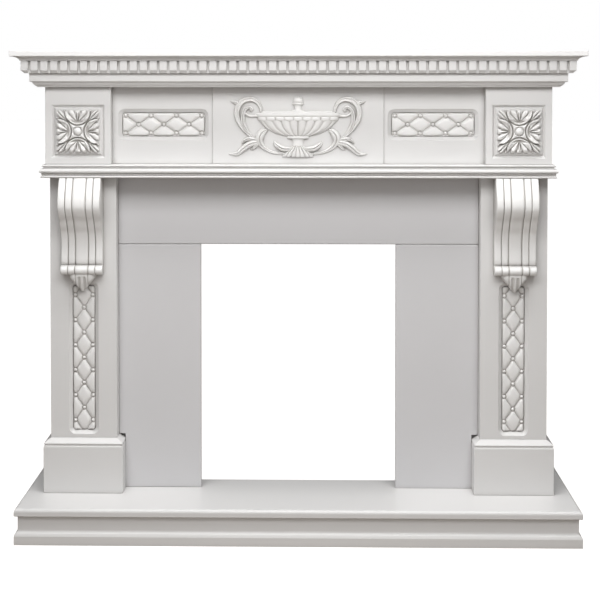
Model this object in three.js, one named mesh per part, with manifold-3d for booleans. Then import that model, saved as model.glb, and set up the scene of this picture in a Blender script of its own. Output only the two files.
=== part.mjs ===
// Fireplace mantelpiece: a painted board surround on a raised hearth, with carved ornament.
// Millimetres. +Z is up, the front faces -Y, x = 0 is the axis of symmetry and z = 0 the floor.
// The origin is the middle of the footprint, half the depth in front of the wall plane.
import * as THREE from 'three';
import { mergeVertices } from 'three/addons/utils/BufferGeometryUtils.js';
import Module from 'manifold-3d';

// Driving dimensions: boards and joints
const BOARD = 18;              // front boards, hearth slab and hearth apron
const SIDE_BOARD = 16;         // side walls of the hollow boxes, and the infill panels
const SEAM = 0.25;             // hairline between pieces that are glued face to face
const PIECE_CLEARANCE = 0.5;   // round an insert in its pocket

// Driving dimensions: hearth
const DEPTH = 390;             // hearth nose to wall plane
const HEARTH_WIDTH = 1340;
const HEARTH_HEIGHT = 86;
const NOSE_RADIUS = 8;
const APRON_SETBACK = 8;       // apron face behind the nose and the base fillet
const BASE_FILLET_HEIGHT = 21;
const BASE_FLARE_HEIGHT = 14;
const NOTCH_WIDTH = 530;       // cut-out in the back of the slab, where the firebox stands
const NOTCH_DEPTH = 136;

// Driving dimensions: plinths and pilasters
const PLINTH_FRONT = 130;      // plinth face behind the hearth nose
const PLINTH_HEIGHT = 133;
const PLINTH_STEP = 16;        // plinth beyond the pilaster, in front and on both sides
const PLINTH_CAP_HEIGHT = 21.5; // bead, groove and sloping top
const PLINTH_ROOF = 19;        // solid top over the plinth's hollow
const PILASTER_WIDTH = 162.5;
const PILASTER_OUTER = 607.5;  // outer side from the axis
const PILASTER_HEIGHT = 642.25;
const PANEL_BOTTOM_RAIL = 8.5;   // plain strip below the sunk panel
const PANEL_HEIGHT = 375;
const PANEL_WIDTH = 73;
const PANEL_RADIUS = 16;

// Driving dimensions: infill and fire opening
const INFILL_SETBACK = 40;     // infill face behind the pilaster face
const OPENING_WIDTH = 482;
const OPENING_HEIGHT = 606;
const JOINT_BEVEL = 2;

// Driving dimensions: architrave, frieze and cornice
const BLOCK_STEP_FRONT = 40;   // corner block beyond the pilaster face
const BLOCK_STEP_SIDE = 3.5;
const BLOCK_WIDTH = 159;
const FRIEZE_SETBACK = 33;     // frieze board behind the corner block face
const FRIEZE_HEIGHT = 186.5;
const ARCHITRAVE_HEIGHT = 32.25;
const FASCIA_HEIGHT = 33;
const DENTIL_HEIGHT = 29.5;
const SHELF_THICKNESS = 24;
const SHELF_COVE_RUN = 19;
const SHELF_COVE_RISE = 10;
const ARCHITRAVE_OUT = 14;     // these four stand out from the corner block faces
const FASCIA_OUT = 32;
const DENTIL_OUT = 49;
const SHELF_OUT = 72;
const DENTIL_DEPTH = 7;
const DENTIL_PITCH = 23.6;
const DENTIL_GAP = 6.5;
const DENTIL_CHAMFER = 7;

// Driving dimensions: frieze ornament
const FRIEZE_PANEL_WIDTH = 220;
const FRIEZE_PANEL_SHIFT = 2;  // towards the middle, from halfway between the boards' edges
const FRIEZE_PANEL_HEIGHT = 76;
const FRIEZE_PANEL_LIFT = 2;   // above the middle of the frieze
const CENTRE_PANEL_WIDTH = 417;
const CENTRE_PANEL_THICKNESS = 5;
const SQUARE_GROOVE_SIZE = 128;
const SQUARE_GROOVE_WIDTH = 10;
const SQUARE_GROOVE_DEPTH = 6;
const SQUARE_GROOVE_DROP = 13.5; // below the middle of the frieze
const ROSETTE_SIZE = 104;
const ROSETTE_RELIEF = 12;
const URN_HEIGHT = 148;
const URN_BASE = 17.5;           // fan's foot above the bottom of the frieze
const URN_RELIEF = 17;

// Driving dimensions: sunk panels and quilted inserts
const RIM_STEP = 1.5;          // first step down at the rim of a sunk panel
const RIM_WIDTH = 8.5;
const RIM_DEPTH = 7.5;
const POCKET_INSET = 9.5;
const POCKET_DEPTH = 12;
const QUILT_PITCH = 61.8;      // button to button along a row
const QUILT_ROW = 21.4;        // row to row
const QUILT_CROWN = 7;
const QUILT_SEAT = 2;          // creases above the floor of the pocket

// Driving dimensions: corbels
const CORBEL_WIDTH = 101;
const CORBEL_HEIGHT = 279;
const CORBEL_DEPTH = 72;
const CORBEL_GROOVE = 3.5;

// Planes and levels worked out from the sizes above
const HEARTH_FRONT = -DEPTH / 2;
const WALL = DEPTH / 2;
const HEARTH_HALF = HEARTH_WIDTH / 2;
const PLINTH_FACE = HEARTH_FRONT + PLINTH_FRONT;
const PILASTER_FACE = PLINTH_FACE + PLINTH_STEP;
const PILASTER_INNER = PILASTER_OUTER - PILASTER_WIDTH;
const PILASTER_MIDDLE = (PILASTER_OUTER + PILASTER_INNER) / 2;
const INFILL_FACE = PILASTER_FACE + INFILL_SETBACK;
const BLOCK_FACE = PILASTER_FACE - BLOCK_STEP_FRONT;
const BLOCK_OUTER = PILASTER_OUTER + BLOCK_STEP_SIDE;
const BLOCK_INNER = BLOCK_OUTER - BLOCK_WIDTH;
const BLOCK_MIDDLE = (BLOCK_OUTER + BLOCK_INNER) / 2;
const FRIEZE_FACE = BLOCK_FACE + FRIEZE_SETBACK;
const FRIEZE_BACK = FRIEZE_FACE + BOARD;
const PLINTH_BOTTOM = HEARTH_HEIGHT + SEAM;
const PLINTH_TOP = PLINTH_BOTTOM + PLINTH_HEIGHT;
const PILASTER_BOTTOM = PLINTH_TOP + SEAM;
const PILASTER_TOP = PILASTER_BOTTOM + PILASTER_HEIGHT;
const ARCHITRAVE_BOTTOM = PILASTER_TOP + SEAM;
const FRIEZE_BOTTOM = ARCHITRAVE_BOTTOM + ARCHITRAVE_HEIGHT + SEAM;
const FRIEZE_TOP = FRIEZE_BOTTOM + FRIEZE_HEIGHT;
const FASCIA_BOTTOM = FRIEZE_TOP + SEAM;
const DENTIL_BOTTOM = FASCIA_BOTTOM + FASCIA_HEIGHT + SEAM;
const SHELF_BOTTOM = DENTIL_BOTTOM + DENTIL_HEIGHT + SEAM;
const OPENING_TOP = HEARTH_HEIGHT + OPENING_HEIGHT;
const URN_FOOT = FRIEZE_BOTTOM + URN_BASE;
const SIDES = { left: -1, right: 1 };

const wasm = await Module();
wasm.setup();

const satinWhite = new THREE.MeshStandardMaterial({ color: 0xeceae6, roughness: 0.38, metalness: 0 });
const ornamentWhite = new THREE.MeshStandardMaterial({ color: 0xf0efec, roughness: 0.34, metalness: 0 });
const infillWhite = new THREE.MeshStandardMaterial({ color: 0xdedce0, roughness: 0.6, metalness: 0 });

const mantel = new THREE.Group();

function addPiece(name, geometry, material) {
  const mesh = new THREE.Mesh(geometry, material);
  mesh.name = name;
  mantel.add(mesh);
}

// Closed geometry from points and triangles, turned so that its faces point out
function closedGeometry(positions, index) {
  const corner = (k) => new THREE.Vector3().fromArray(positions, index[k] * 3);
  let volume = 0;
  for (let k = 0; k < index.length; k += 3) {
    volume += corner(k).dot(corner(k + 1).cross(corner(k + 2)));
  }
  const facing = volume > 0 ? index : index.slice().reverse();
  const geometry = new THREE.BufferGeometry();
  geometry.setAttribute('position', new THREE.Float32BufferAttribute(positions, 3));
  geometry.setIndex(facing);
  return geometry;
}

// Triangles that fill a flat ring, in the ring's own direction
function ringTriangles(ring) {
  const normal = new THREE.Vector3();
  ring.forEach((point, k) => {
    const next = ring[(k + 1) % ring.length];
    normal.x += (point.y - next.y) * (point.z + next.z);
    normal.y += (point.z - next.z) * (point.x + next.x);
    normal.z += (point.x - next.x) * (point.y + next.y);
  });
  const size = [Math.abs(normal.x), Math.abs(normal.y), Math.abs(normal.z)];
  const dropped = size.indexOf(Math.max(...size));
  const kept = ['x', 'y', 'z'].filter((axis, k) => k !== dropped);
  const flat = ring.map((point) => new THREE.Vector2(point[kept[0]], point[kept[1]]));
  const turn = Math.sign(THREE.ShapeUtils.area(flat));
  return THREE.ShapeUtils.triangulateShape(flat, []).map(([a, b, c]) => {
    const same = Math.sign(THREE.ShapeUtils.area([flat[a], flat[b], flat[c]])) === turn;
    return same ? [a, b, c] : [a, c, b];
  });
}

// Solid through rings of equally many points. Its ends are filled flat, or fanned to two hub points
function loft(rings, hubs = null) {
  const count = rings[0].length;
  const last = (rings.length - 1) * count;
  const positions = rings.flat().flatMap((point) => point.toArray());
  const index = [];
  for (let start = 0; start < last; start += count) {
    for (let k = 0; k < count; k += 1) {
      const a = start + k;
      const b = start + (k + 1) % count;
      index.push(a, b, b + count, a, b + count, a + count);
    }
  }
  if (hubs) {
    const hub = last + count;
    positions.push(...hubs[0].toArray(), ...hubs[1].toArray());
    for (let k = 0; k < count; k += 1) {
      const next = (k + 1) % count;
      index.push(hub, next, k, hub + 1, last + k, last + next);
    }
  } else {
    ringTriangles(rings[0]).forEach(([a, b, c]) => index.push(a, c, b));
    ringTriangles(rings[rings.length - 1]).forEach(([a, b, c]) => index.push(last + a, last + b, last + c));
  }
  return closedGeometry(positions, index);
}

function boxBetween(low, high) {
  const size = high.map((value, k) => value - low[k]);
  const middle = high.map((value, k) => (value + low[k]) / 2);
  return new THREE.BoxGeometry(...size).translate(...middle);
}

function toSolid(geometry) {
  const bare = geometry.clone();
  bare.deleteAttribute('normal');
  bare.deleteAttribute('uv');
  const merged = mergeVertices(bare);
  return new wasm.Manifold(new wasm.Mesh({
    numProp: 3,
    vertProperties: new Float32Array(merged.attributes.position.array),
    triVerts: new Uint32Array(merged.index.array),
  }));
}

function toGeometry(solid) {
  const mesh = solid.getMesh();
  const geometry = new THREE.BufferGeometry();
  geometry.setAttribute('position', new THREE.BufferAttribute(mesh.vertProperties, 3));
  geometry.setIndex(new THREE.BufferAttribute(mesh.triVerts, 1));
  return geometry;
}

function cutFrom(geometry, cutters) {
  return toGeometry(cutters.reduce((solid, cutter) => solid.subtract(toSolid(cutter)), toSolid(geometry)));
}

function joinAll(geometries) {
  return toGeometry(geometries.map(toSolid).reduce((whole, piece) => whole.add(piece)));
}

// Points of an arc in a moulding's section, from one angle to another in degrees
function arc(centre, radius, from, to, steps) {
  return Array.from({ length: steps + 1 }, (unused, k) => {
    const angle = THREE.MathUtils.degToRad(from + (to - from) * k / steps);
    return [centre[0] + radius * Math.cos(angle), centre[1] + radius * Math.sin(angle)];
  });
}

// A moulding run round the front and both ends, mitred at the corners, cut square at the wall.
// The section is a list of [distance out from the base rectangle, height]
function mitredRun(name, halfWidth, front, section, material) {
  const at = (side, out, y, z) => new THREE.Vector3(side * (halfWidth + out), y, z);
  const frontEnd = (side) => section.map(([out, z]) => at(side, out - SEAM, front - out, z));
  addPiece(`${name}_front`, loft([frontEnd(-1), frontEnd(1)]), material);
  Object.entries(SIDES).forEach(([word, side]) => {
    const mitre = section.map(([out, z]) => at(side, out, front - out, z));
    const square = section.map(([out, z]) => at(side, out, WALL, z));
    addPiece(`${name}_${word}`, loft([mitre, square]), material);
  });
}

// A board or box whose front and side edges follow a section, with a plain back edge at the wall.
// The section is a list of [distance in from the base rectangle, height]
function edgedBlock(low, high, front, section) {
  return loft(section.map(([inset, z]) => [
    new THREE.Vector3(low + inset, front + inset, z),
    new THREE.Vector3(high - inset, front + inset, z),
    new THREE.Vector3(high - inset, WALL, z),
    new THREE.Vector3(low + inset, WALL, z),
  ]));
}

// Rounded rectangle in a front plane
function roundedRing(middleX, middleZ, width, height, radius, y) {
  const corners = [[1, 1, 0], [-1, 1, 90], [-1, -1, 180], [1, -1, 270]];
  return corners.flatMap(([sx, sz, from]) => {
    const centre = [middleX + sx * (width / 2 - radius), middleZ + sz * (height / 2 - radius)];
    return arc(centre, radius, from, from + 90, 4).map(([x, z]) => new THREE.Vector3(x, y, z));
  });
}

// Cutter for a sunk panel: a step, a gentle slope and a steep wall down to the pocket's floor
function sunkPanelCutter(panel, face) {
  const steps = [[0, -2], [0, 0], [1, RIM_STEP], [RIM_WIDTH, RIM_DEPTH], [POCKET_INSET, POCKET_DEPTH]];
  return loft(steps.map(([inset, depth]) => roundedRing(
    panel.x, panel.z, panel.width - 2 * inset, panel.height - 2 * inset,
    Math.max(panel.radius - inset, 1), face + depth,
  )));
}

// Height of the quilting, 0 in the creases and 1 on the crowns. Creases join the buttons of
// neighbouring rows, so they are the lines where the sum or difference of the steps is even
function quiltHeight(step, row) {
  const one = Math.abs(Math.sin(Math.PI * (step + row) / 2));
  const other = Math.abs(Math.sin(Math.PI * (step - row) / 2));
  return Math.sqrt(one * other);
}

// Quilted insert for a sunk panel, on a grid of two cells from crease to crease, trimmed to
// the rounded outline of the pocket. Along runs the length of the panel and buttons stand in
// three rows across it
function quiltedInsert(panel, face, isUpright) {
  const length = (isUpright ? panel.height : panel.width) - 2 * POCKET_INSET;
  const breadth = (isUpright ? panel.width : panel.height) - 2 * POCKET_INSET;
  const cellsPerStep = 2;
  const back = face + POCKET_DEPTH - SEAM;
  const base = face + POCKET_DEPTH - QUILT_SEAT;
  const steps = 2 * Math.ceil(length / QUILT_PITCH) * cellsPerStep;
  const rows = 2 * Math.ceil(breadth / 2 / QUILT_ROW) * cellsPerStep;
  const place = (i, j, y) => {
    const along = (i - steps / 2) / cellsPerStep * QUILT_PITCH / 2;
    const across = (j - rows / 2) / cellsPerStep * QUILT_ROW;
    return isUpright ? new THREE.Vector3(panel.x + across, y, panel.z + along)
      : new THREE.Vector3(panel.x + along, y, panel.z + across);
  };
  const crown = (i, j) => {
    const height = quiltHeight((i - steps / 2) / cellsPerStep, (j - rows / 2) / cellsPerStep);
    return place(i, j, base - QUILT_CROWN * height);
  };
  const points = [];
  const index = [];
  for (let i = 0; i <= steps; i += 1) {
    for (let j = 0; j <= rows; j += 1) {
      points.push(crown(i, j));
    }
  }
  const id = (i, j) => i * (rows + 1) + j;
  for (let i = 0; i < steps; i += 1) {
    for (let j = 0; j < rows; j += 1) {
      const [a, b, c, d] = [id(i, j), id(i + 1, j), id(i + 1, j + 1), id(i, j + 1)];
      const isAntiCrease = (i - steps / 2 + j - rows / 2 + 1) % (2 * cellsPerStep) === 0;
      index.push(...(isAntiCrease ? [a, b, d, b, c, d] : [a, b, c, a, c, d]));
    }
  }
  const rim = [];
  for (let i = 0; i < steps; i += 1) rim.push(id(i, 0));
  for (let j = 0; j < rows; j += 1) rim.push(id(steps, j));
  for (let i = steps; i > 0; i -= 1) rim.push(id(i, rows));
  for (let j = rows; j > 0; j -= 1) rim.push(id(0, j));
  const firstBack = points.length;
  rim.forEach((k) => points.push(points[k].clone().setY(back)));
  const hub = points.length;
  points.push(new THREE.Vector3(panel.x, back, panel.z));
  rim.forEach((k, n) => {
    const after = (n + 1) % rim.length;
    index.push(k, firstBack + n, rim[after], rim[after], firstBack + n, firstBack + after);
    index.push(firstBack + n, hub, firstBack + after);
  });
  const quilt = closedGeometry(points.flatMap((point) => point.toArray()), index);
  const outline = (y) => roundedRing(
    panel.x, panel.z, panel.width - 2 * (POCKET_INSET + PIECE_CLEARANCE),
    panel.height - 2 * (POCKET_INSET + PIECE_CLEARANCE), panel.radius - POCKET_INSET, y,
  );
  const trim = loft([outline(face - QUILT_CROWN), outline(back + 1)]);
  return toGeometry(toSolid(quilt).intersect(toSolid(trim)));
}

// Square V-groove, a triangular section carried round a square
function squareGrooveCutter(middleX, middleZ, face) {
  const section = [[0, -1], [0, 0], [SQUARE_GROOVE_WIDTH / 2, SQUARE_GROOVE_DEPTH],
    [SQUARE_GROOVE_WIDTH, 0], [SQUARE_GROOVE_WIDTH, -1]];
  const corners = [[-1, -1], [1, -1], [1, 1], [-1, 1]];
  const positions = corners.flatMap(([sx, sz]) => section.flatMap(([inset, depth]) => [
    middleX + sx * (SQUARE_GROOVE_SIZE / 2 - inset), face + depth,
    middleZ + sz * (SQUARE_GROOVE_SIZE / 2 - inset)]));
  const count = section.length;
  const index = [];
  corners.forEach((unused, corner) => {
    const next = (corner + 1) % corners.length;
    for (let k = 0; k < count; k += 1) {
      const after = (k + 1) % count;
      const [a, b] = [corner * count + k, corner * count + after];
      const [c, d] = [next * count + after, next * count + k];
      index.push(a, b, c, a, c, d);
    }
  });
  return closedGeometry(positions, index);
}

// Hearth slab: rounded nose in front and at both ends, and a notch in the middle of its back
function hearthSlab() {
  const bottom = HEARTH_HEIGHT - BOARD;
  const nose = arc([NOSE_RADIUS, HEARTH_HEIGHT - NOSE_RADIUS], NOSE_RADIUS, 180, 90, 5);
  const section = [[1, bottom], [0, bottom + 1], ...nose];
  const block = edgedBlock(-HEARTH_HALF, HEARTH_HALF, HEARTH_FRONT, section);
  const notch = boxBetween(
    [-NOTCH_WIDTH / 2, WALL - NOTCH_DEPTH, bottom - 1],
    [NOTCH_WIDTH / 2, WALL + 1, HEARTH_HEIGHT + 1],
  );
  return cutFrom(block, [notch]);
}

// Hearth apron: upright board with a cove that flares to the base fillet
function apronSection() {
  const top = HEARTH_HEIGHT - BOARD - SEAM;
  const flareTop = BASE_FILLET_HEIGHT + BASE_FLARE_HEIGHT;
  const cove = arc([0, flareTop], APRON_SETBACK, 250, 180, 3);
  return [
    [-APRON_SETBACK - BOARD, 0], [0, 0], [0, BASE_FILLET_HEIGHT], [-1.5, BASE_FILLET_HEIGHT + 4],
    ...cove, [-APRON_SETBACK, top], [-APRON_SETBACK - BOARD, top],
  ];
}

// Plinth: hollow box with a bead, a groove and a sloping cap round its top edge
function plinth(side) {
  const low = side > 0 ? PILASTER_INNER - PLINTH_STEP : -PILASTER_OUTER - PLINTH_STEP;
  const high = side > 0 ? PILASTER_OUTER + PLINTH_STEP : -PILASTER_INNER + PLINTH_STEP;
  const capBottom = PLINTH_TOP - PLINTH_CAP_HEIGHT;
  const block = edgedBlock(low, high, PLINTH_FACE, [
    [0, PLINTH_BOTTOM], [0, capBottom], [0.5, capBottom + 3.5], [2.5, capBottom + 4.5],
    [2.5, capBottom + 7.5], [0.5, capBottom + 8.5], [0.5, capBottom + 10.5], [PLINTH_STEP, PLINTH_TOP],
  ]);
  const hollow = boxBetween(
    [low + SIDE_BOARD, PLINTH_FACE + BOARD, PLINTH_BOTTOM - 1],
    [high - SIDE_BOARD, WALL + 1, PLINTH_TOP - PLINTH_ROOF],
  );
  return cutFrom(block, [hollow]);
}

// The sunk panel of a pilaster
function pilasterPanel(side) {
  const z = PILASTER_BOTTOM + PANEL_BOTTOM_RAIL + PANEL_HEIGHT / 2;
  return { x: side * PILASTER_MIDDLE, z, width: PANEL_WIDTH, height: PANEL_HEIGHT, radius: PANEL_RADIUS };
}

// Pilaster: front board and two side walls in one box, open at the back and at both ends
function pilaster(side) {
  const low = side * PILASTER_MIDDLE - PILASTER_WIDTH / 2;
  const high = low + PILASTER_WIDTH;
  const block = boxBetween([low, PILASTER_FACE, PILASTER_BOTTOM], [high, WALL, PILASTER_TOP]);
  const hollow = boxBetween(
    [low + SIDE_BOARD, PILASTER_FACE + BOARD, PILASTER_BOTTOM - 1],
    [high - SIDE_BOARD, WALL + 1, PILASTER_TOP + 1],
  );
  return cutFrom(block, [hollow, sunkPanelCutter(pilasterPanel(side), PILASTER_FACE)]);
}

// Side outline of a corbel as shares of its height down and of its depth out: an S-curve that
// swells below the top, falls back and flares again above the roll
const OUTLINE_SHARES = [
  [0, 0.69], [0.068, 0.83], [0.14, 0.945], [0.208, 1], [0.265, 0.985], [0.32, 0.86], [0.373, 0.67],
  [0.427, 0.54], [0.48, 0.4], [0.545, 0.32], [0.606, 0.3], [0.677, 0.32], [0.731, 0.375], [0.767, 0.43],
];
// Middle and radius of the roll: shares of the height down, of the depth out, and of the height
const CORBEL_ROLL_SHARES = { down: 0.81, out: 0.38, round: 0.037 };
// Widths of the five ribs and the four grooves between them, as shares of the width
const RIB_SHARES = [0.158, 0.027, 0.141, 0.024, 0.3, 0.024, 0.141, 0.027, 0.158];
// The tongue under the roll: shares of the height down, of the width and of the depth
const TONGUE_SHARES = [
  [0.8, 0.68, 0.42], [0.875, 0.67, 0.39], [0.912, 0.5, 0.33], [0.94, 0.34, 0.27], [0.975, 0.2, 0.19],
  [1, 0.05, 0.1],
];

function corbel(side) {
  const top = PILASTER_TOP - SEAM;
  const back = PILASTER_FACE - SEAM;
  const middle = side * PILASTER_MIDDLE;
  const roll = arc([CORBEL_ROLL_SHARES.out * CORBEL_DEPTH, CORBEL_ROLL_SHARES.down * CORBEL_HEIGHT],
    CORBEL_ROLL_SHARES.round * CORBEL_HEIGHT, -75, 80, 4);
  const outline = [
    ...OUTLINE_SHARES.map(([down, out]) => [out * CORBEL_DEPTH, down * CORBEL_HEIGHT]),
    ...roll,
  ];
  const section = [];
  let share = 0;
  RIB_SHARES.forEach((width, k) => {
    const isRib = k % 2 === 0;
    section.push(...(isRib ? [[share, 0], [share + width, 0]] : [[share + width / 2, CORBEL_GROOVE]]));
    share += width;
  });
  const left = middle - CORBEL_WIDTH / 2;
  const ring = ([out, down]) => [
    ...section.map(([across, sunk]) => new THREE.Vector3(
      left + across * CORBEL_WIDTH, back - out + sunk, top - down)),
    new THREE.Vector3(left + CORBEL_WIDTH, back, top - down),
    new THREE.Vector3(left, back, top - down),
  ];
  const hub = ([out, down]) => new THREE.Vector3(middle, back - out / 2, top - down);
  const body = loft(outline.map(ring), [hub(outline[0]), hub(outline[outline.length - 1])]);
  const tongue = loft(TONGUE_SHARES.map(([down, width, out]) => {
    const bow = arc([0, 0], 1, 0, 180, 6).map(([x, y]) => new THREE.Vector3(
      middle + x * width * CORBEL_WIDTH / 2, back - y ** 0.5 * out * CORBEL_DEPTH,
      top - down * CORBEL_HEIGHT,
    ));
    return bow;
  }));
  return joinAll([body, tongue]);
}

// Infill panels round the fire opening, bevelled where the lintel meets the side panels
function infillLintel() {
  const edge = PILASTER_INNER - SEAM;
  const outline = [
    [INFILL_FACE, OPENING_TOP + JOINT_BEVEL], [INFILL_FACE + JOINT_BEVEL, OPENING_TOP],
    [INFILL_FACE + SIDE_BOARD, OPENING_TOP], [INFILL_FACE + SIDE_BOARD, PILASTER_TOP],
    [INFILL_FACE, PILASTER_TOP],
  ];
  const end = (x) => outline.map(([y, z]) => new THREE.Vector3(x, y, z));
  return loft([end(-edge), end(edge)]);
}

function infillSide(side) {
  const top = OPENING_TOP - SEAM;
  const outline = [
    [INFILL_FACE, PLINTH_BOTTOM], [INFILL_FACE + SIDE_BOARD, PLINTH_BOTTOM],
    [INFILL_FACE + SIDE_BOARD, top], [INFILL_FACE + JOINT_BEVEL, top],
    [INFILL_FACE, top - JOINT_BEVEL],
  ];
  const end = (x) => outline.map(([y, z]) => new THREE.Vector3(side * x, y, z));
  const panel = loft([end(OPENING_WIDTH / 2), end(PILASTER_INNER - SEAM)]);
  const near = side * (PILASTER_INNER - PLINTH_STEP - SEAM);
  const far = side * (PILASTER_INNER + 1);
  const plinthRoom = boxBetween(
    [Math.min(near, far), INFILL_FACE - 1, PLINTH_BOTTOM - 1],
    [Math.max(near, far), WALL, PLINTH_TOP + SEAM],
  );
  return cutFrom(panel, [plinthRoom]);
}

// Architrave section: top bead, groove, torus, sunk band for the rope line and bottom bead
function architraveSection() {
  const z = ARCHITRAVE_BOTTOM;
  const back = -(INFILL_FACE + SIDE_BOARD - BLOCK_FACE);
  const torusRadius = 5.05;
  const torus = arc([ARCHITRAVE_OUT - torusRadius, z + 16.6], torusRadius, -90, 90, 6);
  const lowBead = arc([ARCHITRAVE_OUT - 5.5, z + 2.75], 2.75, -90, 90, 4);
  const topBead = arc([ARCHITRAVE_OUT - 8, z + 29.35], 2.9, -90, 90, 4);
  return [
    [back, z], ...lowBead, [ARCHITRAVE_OUT - 6.5, z + 6], [ARCHITRAVE_OUT - 6.5, z + 11.2],
    ...torus, [ARCHITRAVE_OUT - 9.5, z + 22], [ARCHITRAVE_OUT - 9.5, z + 26.1],
    ...topBead, [back, z + ARCHITRAVE_HEIGHT],
  ];
}

// Fascia section: cove below, fillet and upright face with an eased lower edge
function fasciaSection() {
  const z = FASCIA_BOTTOM;
  const back = -(FRIEZE_BACK - BLOCK_FACE);
  const cove = arc([FASCIA_OUT - 18, z + 15], 12.5, -60, -14, 4);
  return [
    [back, z], [FASCIA_OUT - 16, z], [FASCIA_OUT - 15.5, z + 1.5], ...cove, [FASCIA_OUT - 2, z + 12.4],
    [FASCIA_OUT, z + 14.4], [FASCIA_OUT, z + FASCIA_HEIGHT], [back, z + FASCIA_HEIGHT],
  ];
}

// One dentil as a box with a chamfered foot, in a run's own axes: along, outwards and up
function dentil(from, to, toWorld) {
  const inner = DENTIL_OUT - DENTIL_DEPTH - 1;
  const profile = [
    [inner, DENTIL_BOTTOM + DENTIL_CHAMFER - DENTIL_DEPTH], [DENTIL_OUT, DENTIL_BOTTOM + DENTIL_CHAMFER],
    [DENTIL_OUT, DENTIL_BOTTOM + DENTIL_HEIGHT], [inner, DENTIL_BOTTOM + DENTIL_HEIGHT],
  ];
  return loft([from, to].map((along) => profile.map(([out, z]) => toWorld(along, out, z))));
}

// Dentil course: a strip with dentils joined on, a whole dentil at each corner, trimmed at the mitres
function dentilRun(word, length, isFront, toWorld) {
  const count = Math.round((length + DENTIL_GAP) / DENTIL_PITCH);
  const pitch = (length + DENTIL_GAP) / count;
  const back = -(FRIEZE_BACK - BLOCK_FACE);
  const top = DENTIL_BOTTOM + DENTIL_HEIGHT;
  const mitred = (outermost) => {
    const section = [
      [back, DENTIL_BOTTOM], [outermost, DENTIL_BOTTOM], [outermost, top], [back, top],
    ];
    const start = section.map(([out, z]) => toWorld(DENTIL_OUT - out + SEAM, out, z));
    const finish = section.map(([out, z]) => toWorld(
      isFront ? length - DENTIL_OUT + out - SEAM : length, out, z));
    return toSolid(loft([start, finish]));
  };
  const teeth = Array.from({ length: count }, (unused, k) => {
    const start = k > 0 ? k * pitch : -1;
    const finish = k < count - 1 ? (k + 1) * pitch - DENTIL_GAP : length + 1;
    return toSolid(dentil(start, finish, toWorld));
  });
  const row = wasm.Manifold.union(teeth).intersect(mitred(DENTIL_OUT));
  const course = row.add(mitred(DENTIL_OUT - DENTIL_DEPTH));
  addPiece(`dentil_course_${word}`, toGeometry(course), satinWhite);
}

function dentilCourse() {
  const halfWidth = BLOCK_OUTER + DENTIL_OUT;
  const front = BLOCK_FACE - DENTIL_OUT;
  dentilRun('front', 2 * halfWidth, true, (along, out, z) => new THREE.Vector3(
    along - halfWidth, BLOCK_FACE - out, z));
  Object.entries(SIDES).forEach(([word, side]) => {
    dentilRun(word, WALL - front, false, (along, out, z) => new THREE.Vector3(
      side * (BLOCK_OUTER + out), front + along, z));
  });
}

// Mantel shelf: board with a square fillet over a cove and a small lower fillet
function shelf() {
  const half = BLOCK_OUTER + SHELF_OUT;
  const front = BLOCK_FACE - SHELF_OUT;
  const z = SHELF_BOTTOM;
  const cove = arc([0, 0], 1, 0, 90, 5).map(([across, up]) => [
    1.5 + SHELF_COVE_RUN * across, z + SHELF_COVE_RISE * up]);
  return edgedBlock(-half, half, front, [
    ...cove, [0, z + SHELF_COVE_RISE + 1], [0, z + SHELF_THICKNESS - 1], [1, z + SHELF_THICKNESS],
  ]);
}

// Frieze board between the corner blocks, with its two sunk panels
function friezePanel(side) {
  const x = side * ((BLOCK_INNER + CENTRE_PANEL_WIDTH / 2) / 2 - FRIEZE_PANEL_SHIFT);
  const z = (FRIEZE_BOTTOM + FRIEZE_TOP) / 2 + FRIEZE_PANEL_LIFT;
  return { x, z, width: FRIEZE_PANEL_WIDTH, height: FRIEZE_PANEL_HEIGHT, radius: PANEL_RADIUS };
}

function friezeBoard() {
  const half = BLOCK_INNER - SEAM;
  const board = boxBetween([-half, FRIEZE_FACE, FRIEZE_BOTTOM], [half, FRIEZE_BACK, FRIEZE_TOP]);
  return cutFrom(board, Object.values(SIDES).map((side) => sunkPanelCutter(friezePanel(side), FRIEZE_FACE)));
}

function centrePanel() {
  const half = CENTRE_PANEL_WIDTH / 2;
  const back = FRIEZE_FACE - SEAM;
  const face = FRIEZE_FACE - CENTRE_PANEL_THICKNESS;
  const arris = 1;
  const ring = (inset, y) => [[-1, -1], [1, -1], [1, 1], [-1, 1]].map(([sx, sz]) => new THREE.Vector3(
    sx * (half - inset), y, sz > 0 ? FRIEZE_TOP : FRIEZE_BOTTOM));
  return loft([ring(0, back), ring(0, face + arris), ring(arris, face)]);
}

// Corner block: hollow box, open at the back and at both ends, with a square V-groove
function cornerBlock(side) {
  const low = side * BLOCK_MIDDLE - BLOCK_WIDTH / 2;
  const high = low + BLOCK_WIDTH;
  const block = boxBetween([low, BLOCK_FACE, FRIEZE_BOTTOM], [high, WALL, FRIEZE_TOP]);
  const hollow = boxBetween(
    [low + SIDE_BOARD, BLOCK_FACE + BOARD, FRIEZE_BOTTOM - 1],
    [high - SIDE_BOARD, WALL + 1, FRIEZE_TOP + 1],
  );
  return cutFrom(block, [hollow, squareGrooveCutter(side * BLOCK_MIDDLE, rosetteHeight(), BLOCK_FACE)]);
}

function rosetteHeight() {
  return (FRIEZE_BOTTOM + FRIEZE_TOP) / 2 - SQUARE_GROOVE_DROP;
}

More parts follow.
